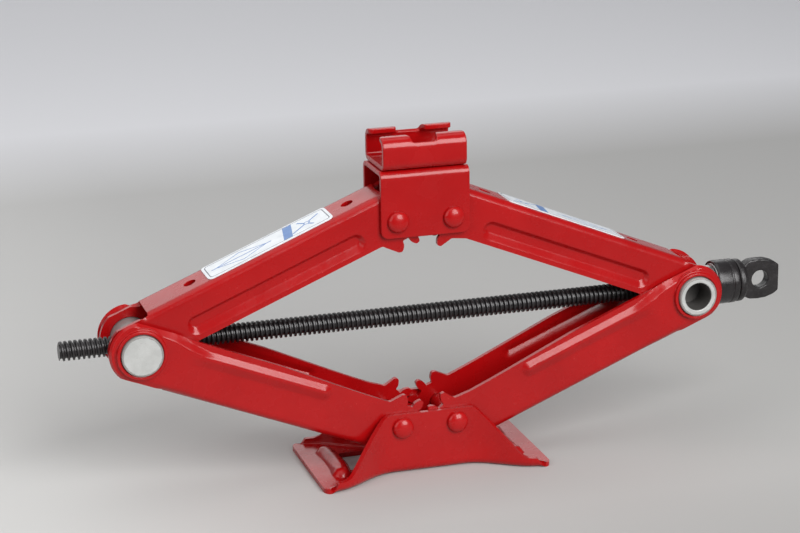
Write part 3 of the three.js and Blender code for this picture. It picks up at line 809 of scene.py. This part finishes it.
def base_bead(x, y):
    """Height of the pressed bead across the foot beside each window."""
    radius, reach, middle, height, slope = 5.0, 19.0, 54.9, 4.2, 3.8
    nearest = min(max(y, -reach), reach)
    crest = middle + 0.004 * nearest ** 2
    depth = radius - math.hypot(abs(x) - crest, y - nearest)
    return height * smooth(depth / slope)


def base_place(x, s):
    """Bends the base's blank into shape."""
    sign = 1.0 if s > 0 else -1.0
    width, foot = base_half(x), base_foot(x)
    reach = abs(s) - foot
    if reach <= 0:
        return (x, s, base_bead(x, s))
    if reach < BEND_LENGTH:
        turn = reach / BEND
        y, z = foot + (width - foot) * math.sin(turn), BEND * (1 - math.cos(turn))
    else:
        y, z = width, BEND + reach - BEND_LENGTH
    bent = base_fade(x)
    return (x, sign * min(abs(s) + (y - abs(s)) * bent, FOOT), z * bent)


def add_base():
    top = filleted([(0, WALL_TOP, 0), (28.6, WALL_TOP, 7.5), (55.5, 6.6, 10), (80, 5.6, 0)], False, 8)
    quarter = []
    for x in np.arange(0.0, BASE_LENGTH - FOOT_CORNER, 0.9):
        rim = base_across(x, level_at(top, x))
        fade = base_fade(x)
        quarter.append((float(x), FOOT + (rim - FOOT) * fade if fade < 1 else rim))
    centre = (BASE_LENGTH - FOOT_CORNER, FOOT - FOOT_CORNER)
    quarter += arc(FOOT_CORNER, PI / 2, 0, 8, centre)[1:]
    right = quarter + [(x, -y) for x, y in quarter[::-1]]
    left = [(-x, -y) for x, y in right]
    loops = [divided(right[::-1] + left[1:-1][::-1], 1.0)]
    window = filleted([(27, -15.5, 2.5), (49.4, -15.5, 3.5), (49.4, 15.5, 3.5), (27, 15.5, 2.5)])
    for sign in (-1, 1):
        loops.append(divided([(sign * x, y) for x, y in window], 1.0))
        for wall in (-1, 1):
            centre = (sign * GEAR_PITCH, wall * base_across(GEAR_PITCH, BASE_PIVOT.z))
            loops.append(circle(RIVET_HOLE, 32, centre))
    interior = []
    for x in np.arange(-72.0, 72.1, 1.4):
        foot = base_foot(x)
        steps = 30 if abs(x) > 44 else 15
        ys = [foot * k / steps for k in range(steps + 1)]
        ys += [foot + BEND_LENGTH * k / 6 for k in range(1, 7)]
        ys += [foot + BEND_LENGTH + k for k in np.arange(1.8, 36, 1.8)]
        interior += [(x, sign * y) for y in ys for sign in ((-1, 1) if y else (1,))]
    mesh = sheet_mesh("base_sheet", loops, interior, base_place, flip=True)
    piece = object_of("base_sheet", mesh, "base", PAINT[1])
    thicken(piece, SHEET, 0.7)
    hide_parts("base_plate")


# ---------------- bracket, saddle and rivets

BRACKET_SHEET = 2.8
BRACKET_LOW, BRACKET_HIGH = node_box("top_bracket")
SADDLE_LOW, SADDLE_HIGH = node_box("saddle")


def add_bracket():
    length, half, top, low = BRACKET_HIGH.x, BRACKET_HIGH.y, BRACKET_HIGH.z, BRACKET_LOW.z
    flat_half = half - BEND
    wall_foot = flat_half + BEND_LENGTH

    def across(z):
        return wall_foot + top - BEND - z

    def place(x, s):
        sign = 1.0 if s > 0 else -1.0
        reach = abs(s) - flat_half
        if reach <= 0:
            return (x, s, top)
        if reach < BEND_LENGTH:
            turn = reach / BEND
            return (x, sign * (flat_half + BEND * math.sin(turn)), top - BEND * (1 - math.cos(turn)))
        return (x, sign * half, top - BEND - reach + BEND_LENGTH)

    edge = across(low)
    loop = [(length, -edge, 5.5), (length, edge, 5.5), (-length, edge, 5.5), (-length, -edge, 5.5)]
    loops = [divided(filleted(loop, True, 8), 0.95), circle(RIVET_HOLE, 32)]
    for x in (-GEAR_PITCH, GEAR_PITCH):
        for sign in (-1, 1):
            loops.append(circle(RIVET_HOLE, 32, (x, sign * across(HEAD_PIVOT.z))))
    lines = list(np.arange(-flat_half + 1.2, flat_half, 2.4))
    lines += both_sides([flat_half + BEND_LENGTH * k / 7 for k in range(8)])
    lines += both_sides([wall_foot + k for k in np.arange(2.2, 40, 2.2)])
    interior = [(x, s) for x in np.arange(-length, length, 2.2) for s in lines]
    mesh = sheet_mesh("bracket_sheet", loops, interior, place, flip=False)
    piece = object_of("bracket_sheet", mesh, "head", PAINT[2])
    thicken(piece, BRACKET_SHEET, 0.45)
    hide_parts("top_bracket")


def add_saddle():
    length, half, low, high = SADDLE_HIGH.x, SADDLE_HIGH.y, SADDLE_LOW.z, SADDLE_HIGH.z
    upper, lower, lip = 6.5, 4.8, 10.0
    flat = half - lower  # the bottom's half-width
    side = flat + lower * PI / 2  # where the side starts on the blank
    over = side + high - low - upper - lower
    top = over + upper * PI / 2
    edge = top + half - upper - lip

    def place(x, s):
        sign = 1.0 if s > 0 else -1.0
        reach = abs(s)
        if reach <= flat:
            return (x, s, low)
        if reach <= side:
            turn = (reach - flat) / lower
            return (x, sign * (flat + lower * math.sin(turn)), low + lower * (1 - math.cos(turn)))
        if reach <= over:
            return (x, sign * half, low + lower + reach - side)
        if reach <= top:
            turn = (reach - over) / upper
            return (x, sign * (half - upper * (1 - math.cos(turn))), high - upper * (1 - math.sin(turn)))
        return (x, sign * (half - upper - reach + top), high)

    notch_depth = 3.4
    notch = over + upper * math.asin(1 - notch_depth / upper)
    lips = [
        (length, edge, 3.0), (9.2, edge, 1.6), (7.4, notch, 2.0), (-7.4, notch, 2.0), (-9.2, edge, 1.6),
        (-length, edge, 3.0),
    ]
    loop = lips + [(-x, -s, r) for x, s, r in lips]
    loops = [divided(filleted(loop, True, 6), 0.9), circle(RIVET_HOLE, 32)]
    lines = list(np.linspace(-flat, flat, 15))
    for start, end, steps in ((flat, side, 6), (side, over, 4), (over, top, 9), (top, edge, 2)):
        lines += both_sides([start + (end - start) * k / steps for k in range(1, steps + 1)])
    interior = [(x, s) for x in np.arange(-length, length, 1.6) for s in lines]
    mesh = sheet_mesh("saddle_sheet", loops, interior, place, flip=True)
    piece = object_of("saddle_sheet", mesh, "head", PAINT[3])
    thicken(piece, SHEET, 0.5)
    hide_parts("saddle")


def mirrored(end):
    """A profile that is the same at both ends, from its points at the far end."""
    return [(-along, radius) for along, radius in end[::-1]] + end


def dome(face, radius, height, steps=9):
    """Profile of a domed head standing on a face, from its foot to its crown."""
    skirt = 0.22 * height
    curve = [(face + skirt + (height - skirt) * math.sin(t), radius * math.cos(t))
             for t in np.linspace(0.0, PI / 2, steps)]
    curve[-1] = (face + height, 0.0)
    return [(face, radius - 0.25), (face + 0.12, radius - 0.05)] + curve


def add_rivets():
    for kind, body, z, half in (
        ("base", "base", BASE_PIVOT.z, WAIST), ("top", "head", HEAD_PIVOT.z, BRACKET_HIGH.y),
    ):
        far = [(half, 5.0)] + dome(half + 0.05, 6.6, 4.2)
        for side, x in (("left", -GEAR_PITCH), ("right", GEAR_PITCH)):
            name = "%s_rivet_%s" % (kind, side)
            mesh = lathe_mesh(name, mirrored(far), "y", 48)
            piece = object_of(name + "_domed", mesh, body, PAINT[2], (x, 0.0, z))
            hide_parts(name)
    low, high = node_box("saddle_rivet")
    floor = SADDLE_LOW.z + SHEET + 0.05
    tail = [
        (low.z, 0.0), (low.z, 6.2), (low.z + 0.5, 7.0), (low.z + 1.6, 7.4), (low.z + 2.0, 7.4),
        (low.z + 2.0, 5.0),
    ]
    head = [(floor, 5.0)] + dome(floor, 7.9, high.z - floor)
    mesh = lathe_mesh("saddle_rivet", tail + head, "z", 48)
    piece = object_of("saddle_rivet_domed", mesh, "head", PAINT[3])
    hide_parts("saddle_rivet")


# ---------------- trunnions and screw

SCREW_Z = TRUNNION.z
ON_SCREW = (0.0, 0.0, SCREW_Z)
SCREW_CLEAR = 6.35  # bore round the screw
SCREW_RADIUS = 6.0
THREAD_ROOT = 4.4


def add_trunnions():
    bore_end = [(11.4, SCREW_CLEAR), (12.6, 7.5), (30.0, 9.0), (30.0, 0.0)]
    tool = lathe_mesh("screw_bore", mirrored(bore_end), "x", 48)
    reach = 26.5  # half their length
    edge = [(reach, 11.7), (reach, 12.0), (reach - 0.12, BAR - 0.2), (reach - 0.45, BAR)]
    plain = [(reach, 0.0)] + edge
    hollow = [
        (reach - 18.0, 0.0), (reach - 18.0, 8.6), (reach - 17.6, 8.8), (reach - 0.7, 8.8),
        (reach - 0.1, 9.3), (reach, 9.45), (reach, 9.75),
    ] + edge
    for body, node, face, steel, x in (
        ("left_nut", "left_trunnion_nut", plain, TRUNNION_STEEL, TRUNNION.x),
        ("right_swivel", "right_trunnion", hollow, HOLLOW_STEEL_SHADED_BORE, -TRUNNION.x),
    ):
        mesh = lathe_mesh(node, mirrored(face[::-1]), "y", 96)
        piece = object_of(node + "_turned", mesh, body, steel, (x, 0.0, SCREW_Z))
        cutter = added("bore", tool)
        cutter.location = piece.location
        bore = piece.modifiers.new("bore", "BOOLEAN")
        bore.object = cutter
        bore.operation = "DIFFERENCE"
        bore.solver = "EXACT"
        bpy.context.view_layer.update()
        shaped = bpy.data.meshes.new_from_object(piece.evaluated_get(bpy.context.evaluated_depsgraph_get()))
        piece.modifiers.clear()
        piece.data = shaped
        shade(shaped, 32)
        bpy.data.objects.remove(cutter)
        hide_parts(node)


THREAD_PITCH = 3.0
THREAD_PROFILE = [  # place along one turn, and radius
    (0.0, 5.86), (0.2, SCREW_RADIUS), (1.0, SCREW_RADIUS), (1.2, 5.86),
    (1.56, 4.55), (1.8, THREAD_ROOT), (2.5, THREAD_ROOT), (2.72, 4.55),
]


def add_screw():
    low, high = node_box("screw_rod")
    start, end = low.x, 158.0
    columns = 28
    turns = math.ceil((end - start) / THREAD_PITCH) + 3
    grid = bmesh.new()
    rows = []
    for turn in range(turns):
        for offset, radius in THREAD_PROFILE:
            row = []
            for k in range(columns):
                x = start + THREAD_PITCH * (turn - 2 + k / columns) + offset
                ease = min(1.0, max(0.0, (x - start + 2.2) / 3.4))
                r = min(radius, THREAD_ROOT + 1.6 * ease)
                row.append(grid.verts.new(turned("x", x, r, 2 * PI * k / columns)))
            rows.append(row)
    per_turn = len(THREAD_PROFILE)
    for i in range(len(rows) - 1):
        for k in range(columns - 1):
            grid.faces.new((rows[i][k], rows[i][k + 1], rows[i + 1][k + 1], rows[i + 1][k]))
        if i >= per_turn:
            wrap = i - per_turn
            last = columns - 1
            grid.faces.new((rows[wrap][last], rows[i][0], rows[i + 1][0], rows[wrap + 1][last]))
    for x, keep_above in ((start, True), (end, False)):
        everything = grid.verts[:] + grid.edges[:] + grid.faces[:]
        bmesh.ops.bisect_plane(
            grid, geom=everything, plane_co=Vector((x, 0, 0)) * MM, plane_no=(1, 0, 0),
            clear_inner=keep_above, clear_outer=not keep_above,
        )
        rim = [e for e in grid.edges if e.is_boundary and all(abs(v.co.x - x * MM) < 1e-7 for v in e.verts)]
        bmesh.ops.contextual_create(grid, geom=rim)
    bmesh.ops.recalc_face_normals(grid, faces=grid.faces)
    mesh = mesh_of(grid, "screw_thread")
    shade(mesh, 30)
    thread = object_of("screw_thread", mesh, "screw", SCREW_BLACK, ON_SCREW)
    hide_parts("screw_rod")
    shank = [
        (end - 0.5, 0.0), (end - 0.5, THREAD_ROOT), (end + 1.2, SCREW_RADIUS),
        (high.x - 0.6, SCREW_RADIUS), (high.x, 5.4), (high.x, 0.0),
    ]
    mesh = lathe_mesh("screw_shank", shank, "x", 48)
    object_of("screw_shank", mesh, "screw", SCREW_BLACK, ON_SCREW)


def add_bearing():
    """Turned rings on the screw beside the right trunnion."""
    rings = {
        "stop_ring": ("screw", SCREW_BLACK, "black_steel", 6.25, 0.6),
        "thrust_spacer": ("right_swivel", BEARING_STEEL, "bearing_steel", SCREW_CLEAR, 0.7),
        "thrust_race_inner": ("right_swivel", BEARING_STEEL, "bearing_steel", SCREW_CLEAR, 0.5),
        "thrust_race_outer": ("screw", BEARING_STEEL, "bearing_steel", SCREW_CLEAR, 0.5),
    }
    for node, (body, material, slot, bore, fillet) in rings.items():
        low, high = node_box(node)
        radius = high.y
        profile = filleted([
            (low.x, bore, 0.3), (low.x, radius, fillet), (high.x, radius, fillet), (high.x, bore, 0.3),
        ])
        mesh = lathe_mesh(node, profile, "x", 72, closed=True)
        piece = object_of(node + "_turned", mesh, body, material, ON_SCREW)
        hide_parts(node)
    low, high = node_box("thrust_cover")
    radius = high.y
    profile = filleted([
        (low.x, radius - 1.4, 0.2), (low.x, radius - 0.3, 0.3), (low.x + 1.6, radius, 0.6),
        (low.x + 8.9, radius, 0.3), (low.x + 9.3, radius - 0.45, 0.2), (low.x + 10.1, radius - 0.45, 0.2),
        (low.x + 10.5, radius, 0.3), (high.x, radius, 1.6), (high.x, SCREW_CLEAR, 0.4),
        (high.x - 4.4, SCREW_CLEAR, 0.2), (high.x - 4.4, radius - 1.4, 0.6),
    ])
    mesh = lathe_mesh("thrust_cover", profile, "x", 96, closed=True)
    piece = object_of("thrust_cover_turned", mesh, "screw", TURNED_BLACK, ON_SCREW)
    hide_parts("thrust_cover")
    cage = frame["nodes"]["thrust_ball_cage"]
    cage.data.materials.clear()
    cage.data.materials.append(BEARING_STEEL)


def add_eye():
    """Forged eye: a round shoulder that flows into a flat loop with a cut-off tip."""
    low, high = node_box("crank_eye")
    thickness, tip = 7.4, high.x
    half = thickness / 2
    upper = [
        (tip - 24.0, 10.9, 3.0), (tip - 19.8, 12.9, 6.0), (tip - 14.2, 13.1, 8.0), (tip - 9.0, 12.8, 8.0),
        (tip - 3.4, 11.0, 6.0), (tip, 8.6, 1.2),
    ]
    loop = filleted(upper + [(x, -z, r) for x, z, r in upper[::-1]])
    bore = circle(5.7, 48, (tip - 13.0, 0.0))
    flat, faces = triangulated([divided(loop, 0.9), bore], [], 0.5)
    grid = bmesh.new()
    verts = [grid.verts.new(Vector((x, -half, z)) * MM) for x, z in flat]
    for f in faces:
        grid.faces.new([verts[i] for i in f])
    drop_loose(grid)
    slab = bmesh.ops.extrude_face_region(grid, geom=grid.faces[:])
    top = [g for g in slab["geom"] if isinstance(g, bmesh.types.BMVert)]
    bmesh.ops.translate(grid, verts=top, vec=(0.0, thickness * MM, 0.0))
    bmesh.ops.recalc_face_normals(grid, faces=grid.faces)
    shoulder = lathe_mesh("eye_shoulder", [
        (low.x, 0.0), (low.x, 13.0), (low.x + 0.7, 13.75), (low.x + 3.6, 13.75), (low.x + 5.2, 12.4),
        (low.x + 7.0, 8.0), (low.x + 9.0, 4.2), (low.x + 10.2, 0.0),
    ], "x", 64)
    grid.from_mesh(shoulder)
    mesh = mesh_of(grid, "crank_eye_forged")
    piece = object_of("crank_eye_forged", mesh, "screw", FORGED_BLACK, ON_SCREW)
    fused = piece.modifiers.new("fused", "REMESH")
    fused.mode = "VOXEL"
    fused.voxel_size = 0.42 * MM
    fused.use_smooth_shade = True
    soft = piece.modifiers.new("soft", "SMOOTH")
    soft.factor = 0.5
    soft.iterations = 9
    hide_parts("crank_eye")
    low, high = node_box("eye_pin")
    half = (high.z - low.z) / 2
    end = [(half - 0.4, 1.45), (half, 1.0), (half, 0.0)]
    mesh = lathe_mesh("eye_pin", mirrored(end), "z", 32)
    centre = ((low.x + high.x) / 2, 0.0, SCREW_Z)
    pin = object_of("eye_pin_rolled", mesh, "screw", SCREW_BLACK, centre)
    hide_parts("eye_pin")


# ---------------- stickers

def add_labels():
    """Printed film on the webs of the upper arms: border, arrow and a plain line drawing of a jack."""
    start, end, half, above = 55.2, 138.8, 12.4, 0.6

    def rectangle(inset, radius):
        a, b, h = start + inset, end - inset, half - inset
        return filleted([(a, -h, radius), (b, -h, radius), (b, h, radius), (a, h, radius)], True, 6)

    inks = [
        (rectangle(0.0, 4.0), 0), (rectangle(1.7, 3.0), 2), (rectangle(2.3, 2.6), 0),
        ([(106, -10), (112, -10), (116, 10), (110, 10)], 1),
        ([(113, -7.6), (133.6, 5.6), (133.0, 6.6), (112.4, -6.6)], 1),
        ([(126.6, -6.4), (127.6, -5.8), (119.4, 7.0), (118.4, 6.4)], 1),
        (circle(2.2, 20, (124.0, 0.0)), 1), (circle(1.4, 20, (124.0, 0.0)), 0),
        ([(62, 0), (80, -7.5), (98, 0), (80, 7.5)], 1),
        ([(63.6, 0), (80, -6.6), (96.4, 0), (80, 6.6)], 0),
        ([(60, -0.5), (100, -0.5), (100, 0.5), (60, 0.5)], 1),
    ]
    loops = [divided(points, 1.5) for points, _ in inks]
    flat, faces = meshed(*joined(loops))
    centres = np.array([flat[list(f)].mean(0) for f in faces])
    inked = np.full(len(faces), -1)
    for loop, (_, ink) in zip(loops, inks):
        a = np.array(loop)
        inked[inside(centres, a, np.roll(a, -1, axis=0))] = ink
    place = arm_place({**UPPER, "web": UPPER["web"] + above}, True)
    mesh = bpy.data.meshes.new("label")
    kept = [i for i in range(len(faces)) if inked[i] >= 0]
    mesh.from_pydata([Vector(place(u, s)) * MM for u, s in flat], [], [tuple(faces[i]) for i in kept])
    mesh.polygons.foreach_set("material_index", [int(inked[i]) for i in kept])
    films = [FILM_WHITE, FILM_BLUE, FILM_DARK]
    for side, shape in (("left", mesh), ("right", opposite(mesh))):
        piece = object_of("label_%s_film" % side, shape, "upper_" + side, films)
        depth = piece.modifiers.new("film", "SOLIDIFY")
        depth.thickness = 0.5 * MM
        depth.offset = -1.0
        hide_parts("label_" + side)


# ---------------- floor and light

def add_stage():
    """A pale floor that runs on past everything the camera sees, with painted light and shade in its
    colour: lighter to the left and far off, darker to the right and towards the camera.
    """
    reach = 8.0
    steps = np.linspace(-reach, reach, 9)
    mesh = bpy.data.meshes.new("floor")
    row = len(steps)
    faces = [(i * row + k, i * row + k + 1, (i + 1) * row + k + 1, (i + 1) * row + k)
             for i in range(row - 1) for k in range(row - 1)]
    mesh.from_pydata([Vector((x, y, 0.0)) for y in steps for x in steps], [], faces)
    floor = added("floor", mesh)
    shader = Shader("floor_board")
    parts = shader.apart(shader.scaled((0.5, 0.5, 1.0), (0.5, 0.5, 0.0)))
    cloud = shader.math("MULTIPLY", shader.noise(2.0, 3.0, 0.5), 0.06)
    side = shader.math("ADD", parts["X"], cloud)
    # painted light: the floor's colour falls from pale on the left to darker on the right, standing in for
    # how the lamps light it
    painted_light_across = shader.ramp(side, [(0.30, (0.67, 0.665, 0.65)), (0.50, (0.46, 0.455, 0.445)),
                               (0.72, (0.40, 0.395, 0.385))])
    # painted light: the floor far beyond the jack is painted paler, standing in for a brightly lit backdrop
    painted_light_far = shader.ramp(parts["Y"], [(0.58, 0.0), (0.86, 0.06), (1.0, 0.9)])
    # painted shade: the floor nearest the camera is painted dark, so the glossy paint reflects a darker
    # floor
    painted_shade_near = shader.ramp(parts["Y"], [(0.16, 1.0), (0.45, 0.0)])
    pale = shader.mix(painted_light_far, painted_light_across, (0.80, 0.80, 0.83))
    shader.colour(shader.mix(painted_shade_near, pale, (0.10, 0.10, 0.10)))
    shader.put(Roughness=0.75, Specular_IOR_Level=0.25)
    mesh.materials.append(shader.material)


def add_light(name, place, target, size, power):
    data = bpy.data.lights.new(name, "AREA")
    data.shape = "RECTANGLE"
    data.size, data.size_y = size
    data.energy = power
    light = added(name, data)
    light.location = place
    light.rotation_euler = (Vector(target) - Vector(place)).to_track_quat("-Z", "Y").to_euler()


def add_lights():
    add_light("overhead", (-0.4, 0.1, 1.7), (-0.2, 0.0, 0.0), (2.2, 1.6), 13.0)
    add_light("softbox", (0.62, -1.85, 1.3), (0.0, 0.0, 0.1), (1.25, 1.7), 62.0)
    add_light("back_panel", (0.0, 3.3, 1.7), (0.0, 0.3, 0.0), (4.2, 2.0), 30.0)
    add_light("left_fill", (-2.0, -0.9, 1.1), (0.0, 0.0, 0.1), (1.9, 1.7), 16.0)
    world = bpy.data.worlds.new("studio")
    world.use_nodes = True
    background = world.node_tree.nodes["Background"]
    background.inputs["Color"].default_value = (0.80, 0.82, 0.85, 1.0)
    background.inputs["Strength"].default_value = 0.2
    bpy.context.scene.world = world
    bpy.context.scene.view_settings.view_transform = "Standard"


add_arms()
add_collars()
add_base()
add_bracket()
add_saddle()
add_rivets()
add_trunnions()
add_screw()
add_bearing()
add_eye()
add_labels()
add_stage()
add_lights()

bpy.context.view_layer.update()
